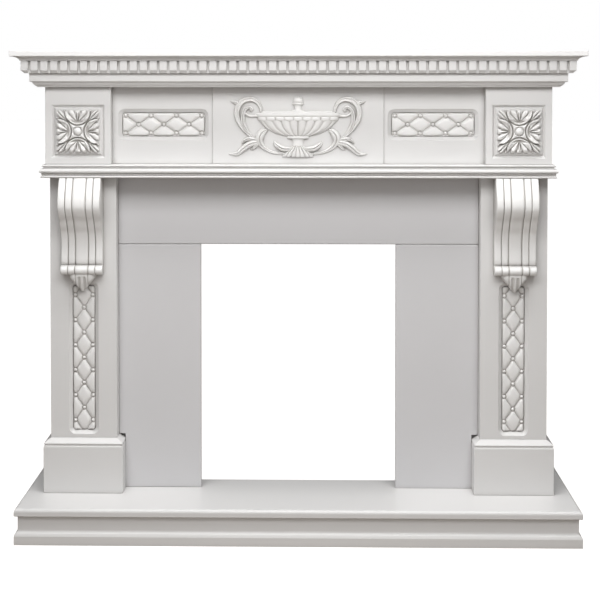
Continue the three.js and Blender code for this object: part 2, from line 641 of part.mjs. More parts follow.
// Acanthus rosette: rings from a lobed square outline in to a ball, ridges and notches turn about
function rosette(side) {
  const spokes = 32;
  const back = BLOCK_FACE - SEAM;
  const middle = new THREE.Vector3(side * BLOCK_MIDDLE, back, rosetteHeight());
  // Each ring: share of the outline, height on a ridge and in a notch as shares of the relief
  const rings = [
    [1, 0, 0], [1, 0.3, 0.16], [0.84, 0.72, 0.3], [0.6, 0.8, 0.42], [0.38, 0.45, 0.36],
    [0.24, 0.62, 0.62], [0.14, 0.6, 0.6], [0.09, 0.95, 0.95],
  ];
  const ring = ([share, ridge, notch]) => Array.from({ length: spokes }, (unused, k) => {
    const angle = 2 * Math.PI * k / spokes;
    const isRidge = k % 2 === 0;
    const square = Math.max(Math.abs(Math.cos(angle)), Math.abs(Math.sin(angle))) ** -0.86;
    const reach = ROSETTE_SIZE / 2 * square * share * (isRidge || share < 0.5 ? 1 : 0.94);
    const height = ROSETTE_RELIEF * (isRidge ? ridge : notch);
    return new THREE.Vector3(
      middle.x + reach * Math.cos(angle), back - height, middle.z + reach * Math.sin(angle));
  });
  return loft(rings.map(ring), [middle, middle.clone().setY(back - ROSETTE_RELIEF)]);
}

// A carved stem: a bowed section, flat behind, that swells and tapers along a smooth curve.
// Points and half widths are shares of the urn's height, from its foot and its axis
function stem(side, points, widths, steps) {
  const back = FRIEZE_FACE - CENTRE_PANEL_THICKNESS - SEAM;
  const curve = new THREE.SplineCurve(points.map(([x, z]) => new THREE.Vector2(x, z)));
  const swell = new THREE.SplineCurve(widths.map((width, k) => new THREE.Vector2(k, width)));
  const rings = Array.from({ length: steps + 1 }, (unused, k) => {
    const t = k / steps;
    const at = curve.getPoint(t);
    const along = curve.getTangent(t);
    const half = Math.max(swell.getPoint(t).y, 0.008);
    const across = [[1, 0], [0.8, 0.75], [0, 1.25], [-0.8, 0.75], [-1, 0]];
    return across.map(([offset, rise]) => new THREE.Vector3(
      side * URN_HEIGHT * (at.x - along.y * half * offset), back - URN_HEIGHT * half * rise,
      URN_FOOT + URN_HEIGHT * (at.y + along.x * half * offset),
    ));
  });
  return loft(rings);
}

// A turned form seen from the front: half an ellipse in plan at each height, fluted if asked
function turned(levels, flutes) {
  const back = FRIEZE_FACE - CENTRE_PANEL_THICKNESS - SEAM;
  const steps = flutes > 0 ? 2 * flutes : 8;
  const rings = levels.map(([z, half, depth]) => Array.from({ length: steps + 1 }, (unused, k) => {
    const angle = Math.PI * k / steps;
    const sunk = flutes > 0 && k % 2 === 1 ? 0.9 : 1;
    return new THREE.Vector3(
      URN_HEIGHT * half * Math.cos(angle), back - URN_RELIEF * depth * sunk * Math.sin(angle),
      URN_FOOT + URN_HEIGHT * z,
    );
  }));
  const hub = ([z, , depth]) => new THREE.Vector3(
    0, back - URN_RELIEF * depth / 2, URN_FOOT + URN_HEIGHT * z);
  return loft(rings, [hub(levels[0]), hub(levels[levels.length - 1])]);
}

// Urn with scrolls: bowl, rim, lid, ball finial, foot and palm fan, with a scroll, leaves and a
// garland on each side. Heights, half widths and depths are shares
function urnRelief() {
  const bowl = turned([
    [0.33, 0.16, 0.35], [0.38, 0.36, 0.6], [0.45, 0.5, 0.8], [0.55, 0.6, 0.92], [0.66, 0.68, 1],
  ], 11);
  const rim = turned([[0.65, 0.685, 0.95], [0.68, 0.7, 1], [0.715, 0.69, 0.98]], 0);
  const lid = turned([[0.7, 0.6, 0.85], [0.748, 0.57, 0.75]], 0);
  const neck = turned([[0.74, 0.106, 0.6], [0.77, 0.066, 0.5], [0.85, 0.075, 0.5]], 0);
  const ball = turned([
    [0.845, 0.075, 0.45], [0.87, 0.092, 0.6], [0.94, 0.08, 0.6], [0.99, 0.03, 0.3],
  ], 0);
  const foot = turned([[0.298, 0.176, 0.6], [0.336, 0.176, 0.6]], 0);
  const fan = turned([[0, 0.265, 0.5], [0.08, 0.2, 0.6], [0.18, 0.1, 0.5], [0.31, 0.1, 0.4]], 7);
  const scrolls = Object.values(SIDES).flatMap((side) => [
    // Outer scroll, from the acanthus knot over the top and down to the rim
    stem(side, [
      [0.7, 0.27], [0.8, 0.36], [0.9, 0.47], [0.98, 0.6], [1.005, 0.73], [0.97, 0.84], [0.89, 0.92],
      [0.77, 0.945], [0.67, 0.9], [0.62, 0.82], [0.6, 0.72],
    ], [0.015, 0.035, 0.045, 0.05, 0.045, 0.035, 0.025], 12),
    // Leaf inside the scroll, curled over at its tip
    stem(side, [
      [0.75, 0.34], [0.84, 0.43], [0.895, 0.54], [0.905, 0.66], [0.88, 0.76], [0.81, 0.81],
      [0.76, 0.78], [0.79, 0.745],
    ], [0.012, 0.04, 0.04, 0.035, 0.03, 0.03], 8),
    // Hook that ties the curl to the rim
    stem(side, [[0.64, 0.68], [0.77, 0.665], [0.85, 0.7], [0.89, 0.76]], [0.025, 0.022, 0.02], 4),
    // Small leaf on the shoulder of the scroll
    stem(side, [[0.95, 0.84], [1.02, 0.885], [1.11, 0.905]], [0.035, 0.035, 0.008], 3),
    // Broad leaf under the bowl that runs on as the garland to the fan
    stem(side, [
      [0.5, 0.44], [0.58, 0.4], [0.625, 0.33], [0.63, 0.26], [0.59, 0.18], [0.5, 0.11],
      [0.38, 0.065], [0.2, 0.05],
    ], [0.03, 0.065, 0.075, 0.055, 0.035, 0.025, 0.025], 9),
    // Spreading acanthus: upper leaflet, long leaf with a turned tip, and lower curl
    stem(side, [[0.64, 0.26], [0.78, 0.29], [0.87, 0.27], [0.93, 0.21]], [0.03, 0.04, 0.03, 0.01], 5),
    stem(side, [[0.62, 0.24], [0.78, 0.21], [0.9, 0.13], [1.0, 0.05], [1.14, 0.045]],
      [0.04, 0.055, 0.05, 0.035, 0.01], 7),
    stem(side, [[0.66, 0.22], [0.72, 0.15], [0.78, 0.11]], [0.04, 0.03, 0.01], 4),
    // Inner leaf beside the fan
    stem(side, [[0.1, 0.13], [0.24, 0.13], [0.35, 0.19], [0.4, 0.25]], [0.03, 0.05, 0.04, 0.015], 5),
  ]);
  return joinAll([bowl, rim, lid, neck, ball, foot, fan, ...scrolls]);
}

addPiece('hearth_slab', hearthSlab(), satinWhite);
mitredRun('hearth_apron', HEARTH_HALF, HEARTH_FRONT, apronSection(), satinWhite);
Object.entries(SIDES).forEach(([word, side]) => {
  addPiece(`plinth_${word}`, plinth(side), satinWhite);
  addPiece(`pilaster_${word}`, pilaster(side), satinWhite);
  addPiece(`pilaster_insert_${word}`, quiltedInsert(pilasterPanel(side), PILASTER_FACE, true), ornamentWhite);
  addPiece(`corbel_${word}`, corbel(side), ornamentWhite);
  addPiece(`infill_${word}`, infillSide(side), infillWhite);
  addPiece(`corner_block_${word}`, cornerBlock(side), satinWhite);
  addPiece(`rosette_${word}`, rosette(side), ornamentWhite);
  addPiece(`frieze_insert_${word}`, quiltedInsert(friezePanel(side), FRIEZE_FACE, false), ornamentWhite);
});
addPiece('infill_lintel', infillLintel(), infillWhite);
mitredRun('architrave', BLOCK_OUTER, BLOCK_FACE, architraveSection(), satinWhite);
addPiece('frieze_board', friezeBoard(), satinWhite);
addPiece('centre_panel', centrePanel(), satinWhite);
addPiece('urn_relief', urnRelief(), ornamentWhite);
mitredRun('fascia', BLOCK_OUTER, BLOCK_FACE, fasciaSection(), satinWhite);
dentilCourse();
addPiece('shelf', shelf(), satinWhite);

export default mantel;
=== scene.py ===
"""White painted mantelpiece: fine carving over the boards, paint, floor, light and camera."""

import math

import bpy
import numpy as np
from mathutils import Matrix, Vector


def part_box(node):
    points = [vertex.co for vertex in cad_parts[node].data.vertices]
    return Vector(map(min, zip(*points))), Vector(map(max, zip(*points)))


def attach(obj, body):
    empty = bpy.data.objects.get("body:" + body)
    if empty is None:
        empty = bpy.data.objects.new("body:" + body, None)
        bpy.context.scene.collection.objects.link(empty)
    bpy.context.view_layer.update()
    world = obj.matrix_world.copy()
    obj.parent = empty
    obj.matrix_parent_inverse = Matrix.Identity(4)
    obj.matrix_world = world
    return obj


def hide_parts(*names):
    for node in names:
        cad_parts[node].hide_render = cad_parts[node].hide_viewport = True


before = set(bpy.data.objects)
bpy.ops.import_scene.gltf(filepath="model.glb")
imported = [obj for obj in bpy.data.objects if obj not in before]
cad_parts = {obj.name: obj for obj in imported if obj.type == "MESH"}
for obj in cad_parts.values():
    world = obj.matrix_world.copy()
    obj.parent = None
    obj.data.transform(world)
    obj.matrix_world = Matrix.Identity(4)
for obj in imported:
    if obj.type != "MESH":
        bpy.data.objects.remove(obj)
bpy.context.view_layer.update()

MM = 0.001
SIDES = {"left": -1, "right": 1}

# Planes of the boards that carry the carving, in millimetres
PILASTER_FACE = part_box("pilaster_left")[0][1] / MM
PILASTER_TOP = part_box("pilaster_left")[1][2] / MM
PILASTER_MIDDLE = (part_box("pilaster_right")[0][0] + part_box("pilaster_right")[1][0]) / 2 / MM
FRIEZE_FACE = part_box("frieze_board")[0][1] / MM
FRIEZE_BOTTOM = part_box("frieze_board")[0][2] / MM
CENTRE_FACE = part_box("centre_panel")[0][1] / MM
BLOCK_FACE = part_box("corner_block_left")[0][1] / MM
BLOCK_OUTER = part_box("corner_block_right")[1][0] / MM
ARCHITRAVE_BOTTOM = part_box("architrave_front")[0][2] / MM
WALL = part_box("shelf")[1][1] / MM
SEAM = 0.25


# Meshes

def grid_faces(rows, columns, wraps=False):
    """Quads between neighbouring points of a grid; the last column meets the first if it wraps."""
    row = np.arange(rows - 1)[:, None]
    column = np.arange(columns if wraps else columns - 1)[None, :]
    after = (column + 1) % columns
    corners = [row * columns + column, row * columns + after,
               (row + 1) * columns + after, (row + 1) * columns + column]
    return np.stack([c.ravel() for c in corners], axis=1)


def signed_volume(points, faces):
    """Sum over the faces' triangles of the tetrahedra that they make with the origin."""
    total = 0.0
    for first in range(1, faces.shape[1] - 1):
        a, b, c = points[faces[:, 0]], points[faces[:, first]], points[faces[:, first + 1]]
        total += np.einsum("ij,ij->i", a, np.cross(b, c)).sum()
    return total


def closed_shell(rings, hubs=None):
    """Tube through rings of equally many points, shaped (rings, points, 3). Each end is fanned
    to a hub, by default the middle of its ring. Returns points, quads and triangles facing out."""
    count, around = rings.shape[:2]
    if hubs is None:
        hubs = np.array([rings[0].mean(axis=0), rings[-1].mean(axis=0)])
    points = np.vstack([rings.reshape(-1, 3), np.asarray(hubs, float)])
    quads = grid_faces(count, around, wraps=True)
    here = np.arange(around)
    after = (here + 1) % around
    low_hub = np.full(around, count * around)
    high_hub = low_hub + 1
    last = (count - 1) * around
    fans = np.vstack([np.stack([low_hub, after, here], axis=1),
                      np.stack([high_hub, last + here, last + after], axis=1)])
    if signed_volume(points, quads) + signed_volume(points, fans) < 0:
        quads = quads[:, ::-1]
        fans = fans[:, ::-1]
    return points, quads, fans


def join_shells(shells):
    """Several closed shells as one list of points, quads and triangles."""
    points, quads, fans, start = [], [], [], 0
    for shell_points, shell_quads, shell_fans in shells:
        points.append(shell_points)
        quads.append(shell_quads + start)
        fans.append(shell_fans + start)
        start += len(shell_points)
    return np.vstack(points), np.vstack(quads), np.vstack(fans)


def add_piece(name, shell, paint, stands_for, hollow, sharp_angle):
    """Puts a closed shell, given in millimetres, into a mesh that rides with the mantelpiece.
    hollow is how deep each point lies in the carving, from 0 to 1; the paint darkens with it as
    painted shade. Edges that turn by more than sharp_angle degrees stay sharp."""
    points, quads, fans = shell
    mesh = bpy.data.meshes.new(name)
    mesh.from_pydata((points * MM).tolist(), [], quads.tolist() + fans.tolist())
    mesh.update()
    mesh.shade_smooth()
    mesh.set_sharp_from_angle(angle=math.radians(sharp_angle))
    depth = mesh.attributes.new("hollow", "FLOAT", "POINT")
    depth.data.foreach_set("value", np.asarray(hollow, np.float32))
    mesh.materials.append(paint)
    piece = bpy.data.objects.new(name, mesh)
    bpy.context.collection.objects.link(piece)
    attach(piece, "root")
    if stands_for:
        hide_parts(*stands_for)


def smooth_path(knots, samples):
    """Catmull-Rom curve: through every knot, leaving it along the line between its neighbours."""
    knots = np.asarray(knots, float)
    ends = np.vstack([2 * knots[0] - knots[1], knots, 2 * knots[-1] - knots[-2]])
    place = np.linspace(0, len(knots) - 1, samples)
    span = np.minimum(place.astype(int), len(knots) - 2)
    t = (place - span)[:, None]
    p0, p1, p2, p3 = (ends[span + k] for k in range(4))
    return 0.5 * (2 * p1 + (p2 - p0) * t + (2 * p0 - 5 * p1 + 4 * p2 - p3) * t ** 2
                  + (3 * p1 - p0 - 3 * p2 + p3) * t ** 3)


def bump(distance, width):
    """Bell: 1 where the distance is 0, falling off over the width."""
    return np.exp(-(distance / width) ** 2)


def smooth_step(value, low, high):
    """0 below low, 1 above high, with an S-shaped rise between."""
    t = np.clip((value - low) / (high - low), 0, 1)
    return t * t * (3 - 2 * t)


# Paint

class Wave:
    """A socket in a shader. Arithmetic on it adds Math nodes; numbers alone stay in Python."""

    def __init__(self, tree, socket):
        self.tree = tree
        self.socket = socket

    @staticmethod
    def node(tree, kind, settings=None, sockets=None):
        """Adds a node. Its settings are set first, then its sockets, to values or to links."""
        made = tree.nodes.new(kind)
        for key, value in (settings or {}).items():
            setattr(made, key, value)
        for key, value in (sockets or {}).items():
            if isinstance(value, Wave):
                tree.links.new(value.socket, made.inputs[key])
            else:
                made.inputs[key].default_value = value
        return made

    def combined(self, operation, first, second):
        made = self.node(self.tree, "ShaderNodeMath", {"operation": operation},
                         {0: first, 1: second})
        return Wave(self.tree, made.outputs[0])

    def __add__(self, other):
        return self.combined("ADD", self, other)

    def __rsub__(self, other):
        return self.combined("SUBTRACT", other, self)

    def __mul__(self, other):
        return self.combined("MULTIPLY", self, other)

    def __pow__(self, other):
        return self.combined("POWER", self, other)


# Lightest and darkest tone, as shares of the colour
TONE_LIGHT = 1.025
TONE_DARK = 0.965
# Noise scales per metre
DRIFT_SCALE = 2.3
MOTTLE_SCALE = 34.0
PEEL_SCALE = 520.0
PEEL_HEIGHT = 0.0003
PEEL_STRENGTH = 0.12
GLOSS_RANGE = 0.12
COAT_ROUGHNESS = 0.25
PAINT_IOR = 1.48
# Painted shade: the paint darkens towards a warm dark colour in corners, where another surface is
# within this reach, and in hollows
RECESS_REACH = 0.014
RECESS_POWER = 2.0
CORNER_SHADE_STRENGTH = 0.8
HOLLOW_POWER = 1.4
HOLLOW_STRENGTH = 0.7
SHADE_COLOUR = (0.24, 0.215, 0.19)


def painted(name, colour, shade_colour, roughness, coat):
    """Sprayed paint: a broad tone drift, a finer mottle in the gloss, orange peel as relief, and
    painted shade, a warmer, darker colour, in corners and where the carving is hollow."""
    paint = bpy.data.materials.new(name)
    paint.use_nodes = True
    tree = paint.node_tree
    tree.nodes.clear()
    place = Wave(tree, Wave.node(tree, "ShaderNodeTexCoord").outputs["Object"])

    def noise(scale, detail):
        made = Wave.node(tree, "ShaderNodeTexNoise", {}, {
            "Vector": place, "Scale": scale, "Detail": detail, "Roughness": 0.55})
        return Wave(tree, made.outputs["Fac"])

    drift = noise(DRIFT_SCALE, 2.0)
    mottle = noise(MOTTLE_SCALE, 3.0)
    peel = noise(PEEL_SCALE, 1.0)
    hollow = Wave(tree, Wave.node(tree, "ShaderNodeAttribute", {
        "attribute_name": "hollow"}).outputs["Fac"])

    def mixed(factor, first, second):
        made = Wave.node(tree, "ShaderNodeMix", {"data_type": "RGBA"},
                         {0: factor, 6: first, 7: second})
        return Wave(tree, made.outputs[2])

    lighter = tuple(min(1.0, c * TONE_LIGHT) for c in colour) + (1.0,)
    darker = tuple(c * TONE_DARK for c in colour) + (1.0,)
    body = mixed(drift * 0.75 + mottle * 0.25, darker, lighter)
    # Painted shade: an ambient occlusion node darkens the colour in corners, and the hollow
    # attribute darkens it further in the carving
    open_air = Wave(tree, Wave.node(tree, "ShaderNodeAmbientOcclusion", {"samples": 8}, {
        "Distance": RECESS_REACH}).outputs["AO"])
    corner_shade = (1 - open_air) ** RECESS_POWER * CORNER_SHADE_STRENGTH
    deep = mixed(corner_shade, body, tuple(shade_colour) + (1.0,))
    tone = mixed(hollow ** HOLLOW_POWER * HOLLOW_STRENGTH, deep, tuple(shade_colour) + (1.0,))
    relief = Wave.node(tree, "ShaderNodeBump", {}, {
        "Strength": PEEL_STRENGTH, "Distance": PEEL_HEIGHT, "Height": peel * 0.7 + mottle * 0.3})
    shader = Wave.node(tree, "ShaderNodeBsdfPrincipled", {}, {
        "Base Color": tone, "Roughness": mottle * GLOSS_RANGE + (roughness - GLOSS_RANGE / 2),
        "Normal": Wave(tree, relief.outputs["Normal"]), "Coat Weight": coat,
        "Coat Roughness": COAT_ROUGHNESS, "IOR": PAINT_IOR})
    Wave.node(tree, "ShaderNodeOutputMaterial", {}, {"Surface": Wave(tree, shader.outputs[0])})
    return paint


# The second colour of each paint is the warm dark of its painted shade
board_paint = painted("satin_white", (0.71, 0.702, 0.694), SHADE_COLOUR,
                      roughness=0.42, coat=0.12)
ornament_paint = painted("ornament_white", (0.80, 0.792, 0.78), SHADE_COLOUR,
                         roughness=0.34, coat=0.2)
infill_paint = painted("infill_white", (0.63, 0.624, 0.632), (0.27, 0.255, 0.25),
                       roughness=0.6, coat=0.0)


# Rosettes

ROSETTE_HALF = 52.0
ROSETTE_RELIEF = 12.0
PALMETTE_CENTRE = 0.87     # the four palmettes lie in circles about these points of the axes
PALMETTE_RADIUS = 0.58
PALMETTE_ROOT = 0.4
CORNER_POWER = 18          # how square the outline is
ROSETTE_SPOKES = 480
ROSETTE_CIRCLES = 72
# Notches between the leaf tips: degrees from the nearest axis, width and depth
ROSETTE_NOTCHES = [(9.6, 2.2, 0.13), (25.6, 2.4, 0.20), (36.6, 1.8, 0.13), (45, 1.6, 0.05)]
ROSETTE_EDGE = 0.12        # how far in from the outline the rim rounds over
BALL_RADIUS = 0.175


def rosette(word):
    """Polar height field in units of half the rosette's width. The outline is a square notched
    between the leaf tips. Each quarter holds a palmette, whose lobes fan out from a root inside a
    raised arc. A smooth four-armed body runs between them to the corners, where each arm opens
    into leaflets with a sunk vein. A ball is in the middle."""
    angle = np.linspace(0, 2 * np.pi, ROSETTE_SPOKES, endpoint=False)[None, :]
    share = np.linspace(1, 0.004, ROSETTE_CIRCLES)[:, None] ** 0.8
    # Angle from the nearest axis, 0 to 45 degrees
    turn = np.abs((np.degrees(angle) + 45) % 90 - 45)
    square = (np.cos(angle) ** CORNER_POWER + np.sin(angle) ** CORNER_POWER) ** (-1 / CORNER_POWER)
    notch = sum(depth * bump(turn - place, width) for place, width, depth in ROSETTE_NOTCHES)
    outline = square * (1 - notch)
    radius = outline * share
    near = np.radians(turn)
    # across and out are measured from the nearest axis
    across, out = radius * np.sin(near), radius * np.cos(near)
    from_circle = np.hypot(across, out - PALMETTE_CENTRE)
    inside = smooth_step(PALMETTE_RADIUS - from_circle, -0.01, 0.02)
    fan = np.degrees(np.arctan2(across, np.maximum(out - PALMETTE_ROOT, 0.02)))
    lobes = np.abs(np.cos(np.pi * fan / 30.0)) ** 0.45 * smooth_step(out, 0.38, 0.6)
    slot = bump(fan - 8.0, 3.2) * smooth_step(out, 0.46, 0.54) * smooth_step(0.93 - out, 0, 0.12)
    arc = bump(from_circle - (PALMETTE_RADIUS - 0.06), 0.05) * smooth_step(1.02 - out, 0, 0.3)
    palmette = 0.08 + 0.55 * lobes - 0.4 * slot + 0.15 * bump(out - 0.84, 0.14) + 0.5 * arc
    # Four-armed body and the leaflets at its ends
    along = (across + out) / math.sqrt(2)
    beside = (out - across) / math.sqrt(2)
    beyond = np.clip(from_circle - PALMETTE_RADIUS, 0, 1)
    leaflet = smooth_step(along, 0.72, 1.0)
    vein = bump(beside, 0.024) * smooth_step(along, 0.5, 0.75)
    fold = np.cos(2 * np.pi * (turn - 42.0) / 10.8)
    arm = 0.52 + 0.3 * (1 - np.exp(-beyond / 0.07)) - 0.3 * vein
    arm = arm * (1 - leaflet) + leaflet * (0.56 + 0.2 * fold - 0.2 * vein)
    crease = bump(from_circle - (PALMETTE_RADIUS + 0.012), 0.018)
    height = inside * palmette + (1 - inside) * arm - 0.42 * crease
    height = height - 0.36 * bump(radius - 0.2, 0.028)
    ball = 0.5 + 0.5 * np.sqrt(np.clip(1 - (radius / BALL_RADIUS) ** 2, 0, 1))
    height = np.maximum(height, np.where(radius < BALL_RADIUS, 1, 0) * ball)
    edge = np.sqrt(np.clip((outline - radius) / ROSETTE_EDGE, 0, 1))
    height = np.clip(height, 0.08, 1.0) * (0.4 + 0.6 * edge)
    low, high = (np.array(corner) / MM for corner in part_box("rosette_" + word))
    centre_x, centre_z = (low[0] + high[0]) / 2, (low[2] + high[2]) / 2
    back = BLOCK_FACE - SEAM
    field = np.stack([
        centre_x + ROSETTE_HALF * radius * np.cos(angle),
        back - ROSETTE_RELIEF * height,
        centre_z + ROSETTE_HALF * radius * np.sin(angle)], axis=2)
    foot = field[0].copy()
    foot[:, 1] = back
    rings = np.vstack([foot[None], field])
    hubs = [[centre_x, back, centre_z], [centre_x, field[-1, :, 1].mean(), centre_z]]
    # Painted shade: darker where the carving lies low, and fully dark on the foot ring
    deep = 1 - smooth_step(height, 0.1, 0.6)
    hollow = np.concatenate([np.ones(ROSETTE_SPOKES), deep.ravel(), [1.0, 0.0]])
    add_piece("carved_rosette_" + word, closed_shell(rings, hubs), ornament_paint,
              ["rosette_" + word], hollow, 60.0)


# Quilted inserts

QUILT_PITCH = 61.8
QUILT_ROW = 21.4
QUILT_CROWN = 7.0
QUILT_BASE = 10.0          # creases behind the face of the board
QUILT_FINE = 1.0           # distance between the mesh's points
QUILT_STEEPNESS = 3.0      # how sharply the pillows turn down into the creases
QUILT_CORNER = 6.0
QUILT_BORDER = 4.0         # how far in from the edge the pillows round over
QUILT_SHADE = 4.5          # how narrow the painted shade line in a crease is
BUTTON_RADIUS = 4.3
BUTTON_RISE = 5.2
BUTTON_MARGIN = 3.6        # round a button, where the pillows fall away to it


def quilting(step, row):
    """Pillows between creases: the creases are where the sum or the difference of steps and rows
    is even, and buttons sit where both are."""
    one = np.abs(np.sin(np.pi * (step + row) / 2))
    other = np.abs(np.sin(np.pi * (step - row) / 2))
    flanks = np.tanh(one * QUILT_STEEPNESS) * np.tanh(other * QUILT_STEEPNESS)
    return flanks * (0.84 + 0.16 * one * other)


def button_distance(step, row):
    """Distance in millimetres to the nearest button."""
    near_row = np.round(row)
    near_step = 2 * np.round((step - near_row) / 2) + near_row
    return np.hypot((step - near_step) * QUILT_PITCH / 2, (row - near_row) * QUILT_ROW)


def quilted_insert(name, face, upright):
    """Rounded rectangle of quilting: each row of points is drawn in at the ends to the corner
    radius. Buttons rise as small domes where creases cross, and the pillows keep clear of them."""
    low, high = (np.array(corner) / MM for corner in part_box(name))
    middle = (low + high) / 2
    half = (high - low) / 2
    half_long, half_wide = (half[2], half[0]) if upright else (half[0], half[2])
    rows = int(2 * half_long / QUILT_FINE)
    columns = int(2 * half_wide / QUILT_FINE)
    along = np.linspace(-half_long, half_long, rows)[:, None]
    past = np.clip(np.abs(along) - (half_long - QUILT_CORNER), 0, QUILT_CORNER)
    width = half_wide - QUILT_CORNER + np.sqrt(QUILT_CORNER ** 2 - past ** 2)
    across = np.linspace(-1, 1, columns)[None, :] * width
    along = along + 0 * across
    step, row = along / (QUILT_PITCH / 2), across / QUILT_ROW
    distance = button_distance(step, row)
    pillow = quilting(step, row)
    border = np.minimum(width - np.abs(across), half_long - np.abs(along))
    roll = np.sqrt(np.clip(border / QUILT_BORDER, 0, 1))
    pillow = pillow * smooth_step(distance, BUTTON_RADIUS, BUTTON_RADIUS + BUTTON_MARGIN)
    height = QUILT_CROWN * pillow * (0.3 + 0.7 * roll)
    dome = np.clip(1 - (distance / BUTTON_RADIUS) ** 2, 0, 1) ** 0.45
    height = np.maximum(height, BUTTON_RISE * dome)
    rightward, upward = (across, along) if upright else (along, across)
    x, z = middle[0] + rightward, middle[2] + upward
    top = np.stack([x, face + QUILT_BASE - height, z], axis=-1)
    under = np.stack([x, np.full_like(x, high[1]), z], axis=-1)
    # Each ring runs over the front from edge to edge and returns behind
    rings = np.concatenate([top, under[:, ::-1]], axis=1)
    # Painted shade: dark in the creases and in the ring round each button, none on the button
    # itself, full on the back
    shade = np.clip(1 - pillow * QUILT_SHADE, 0, 1) * (distance > BUTTON_RADIUS)
    hollow = np.concatenate([shade, np.ones_like(shade)], axis=1).ravel()
    add_piece("quilting_" + name, closed_shell(rings), ornament_paint, [name],
              np.concatenate([hollow, [1.0, 1.0]]), 55.0)


# Corbels

CORBEL_WIDTH = 101.0
CORBEL_HEIGHT = 279.0
CORBEL_DEPTH = 72.0
CORBEL_GROOVE = 3.5
# Down and out, as shares of the height and the depth
CORBEL_OUTLINE = [
    (0, 0.69), (0.068, 0.83), (0.14, 0.945), (0.208, 1), (0.265, 0.985), (0.32, 0.86),
    (0.373, 0.67), (0.427, 0.54), (0.48, 0.4), (0.545, 0.32), (0.606, 0.3), (0.677, 0.315),
    (0.715, 0.33), (0.745, 0.31), (0.768, 0.24)]
# Widths of ribs and grooves in turn, as shares of the width
CORBEL_RIBS = (0.158, 0.027, 0.141, 0.024, 0.3, 0.024, 0.141, 0.027, 0.158)
# The roll: out, as a share of the depth, then down and radius, as shares of the height
ROLL_OUT = 0.38
ROLL_DOWN = 0.81
ROLL_RADIUS = 0.037
# Down, width and out, as shares of the height, the width and the depth
CORBEL_TONGUE = [
    (0.8, 0.64, 0.4), (0.86, 0.64, 0.43), (0.885, 0.6, 0.425), (0.912, 0.47, 0.4),
    (0.94, 0.33, 0.36), (0.975, 0.19, 0.29), (1, 0.06, 0.2)]
FLUTE_PLACE = 6.4          # of each flute from the middle
FLUTE_HALF = 4.4
FLUTE_DEPTH = 4.0
FLUTE_TOP = 0.862          # down, as a share of the height
TONGUE_GROOVE = 2.4


def rib_section():
    """Across the corbel: flat ribs whose edges round down steeply into narrow grooves. Returns
    the place across, from 0 to 1, and how far each point is sunk, from 0 to 1."""
    edges = np.cumsum((0,) + CORBEL_RIBS)
    across, sunk = [], []
    for rib in range(0, len(CORBEL_RIBS), 2):
        q = 0.5 - 0.5 * np.cos(np.linspace(0, np.pi, 18))
        left = edges[rib] - (CORBEL_RIBS[rib - 1] / 2 if rib else 0)
        right = edges[rib + 1] + (CORBEL_RIBS[rib + 1] / 2 if rib + 1 < len(CORBEL_RIBS) else 0)
        depth = np.abs(2 * q - 1) ** 9
        if rib == 0:
            depth = np.where(q < 0.5, depth * 0.35, depth)
        if rib == len(CORBEL_RIBS) - 1:
            depth = np.where(q > 0.5, depth * 0.35, depth)
        across.append(left + (right - left) * q)
        sunk.append(depth)
    return np.concatenate(across), np.concatenate(sunk)


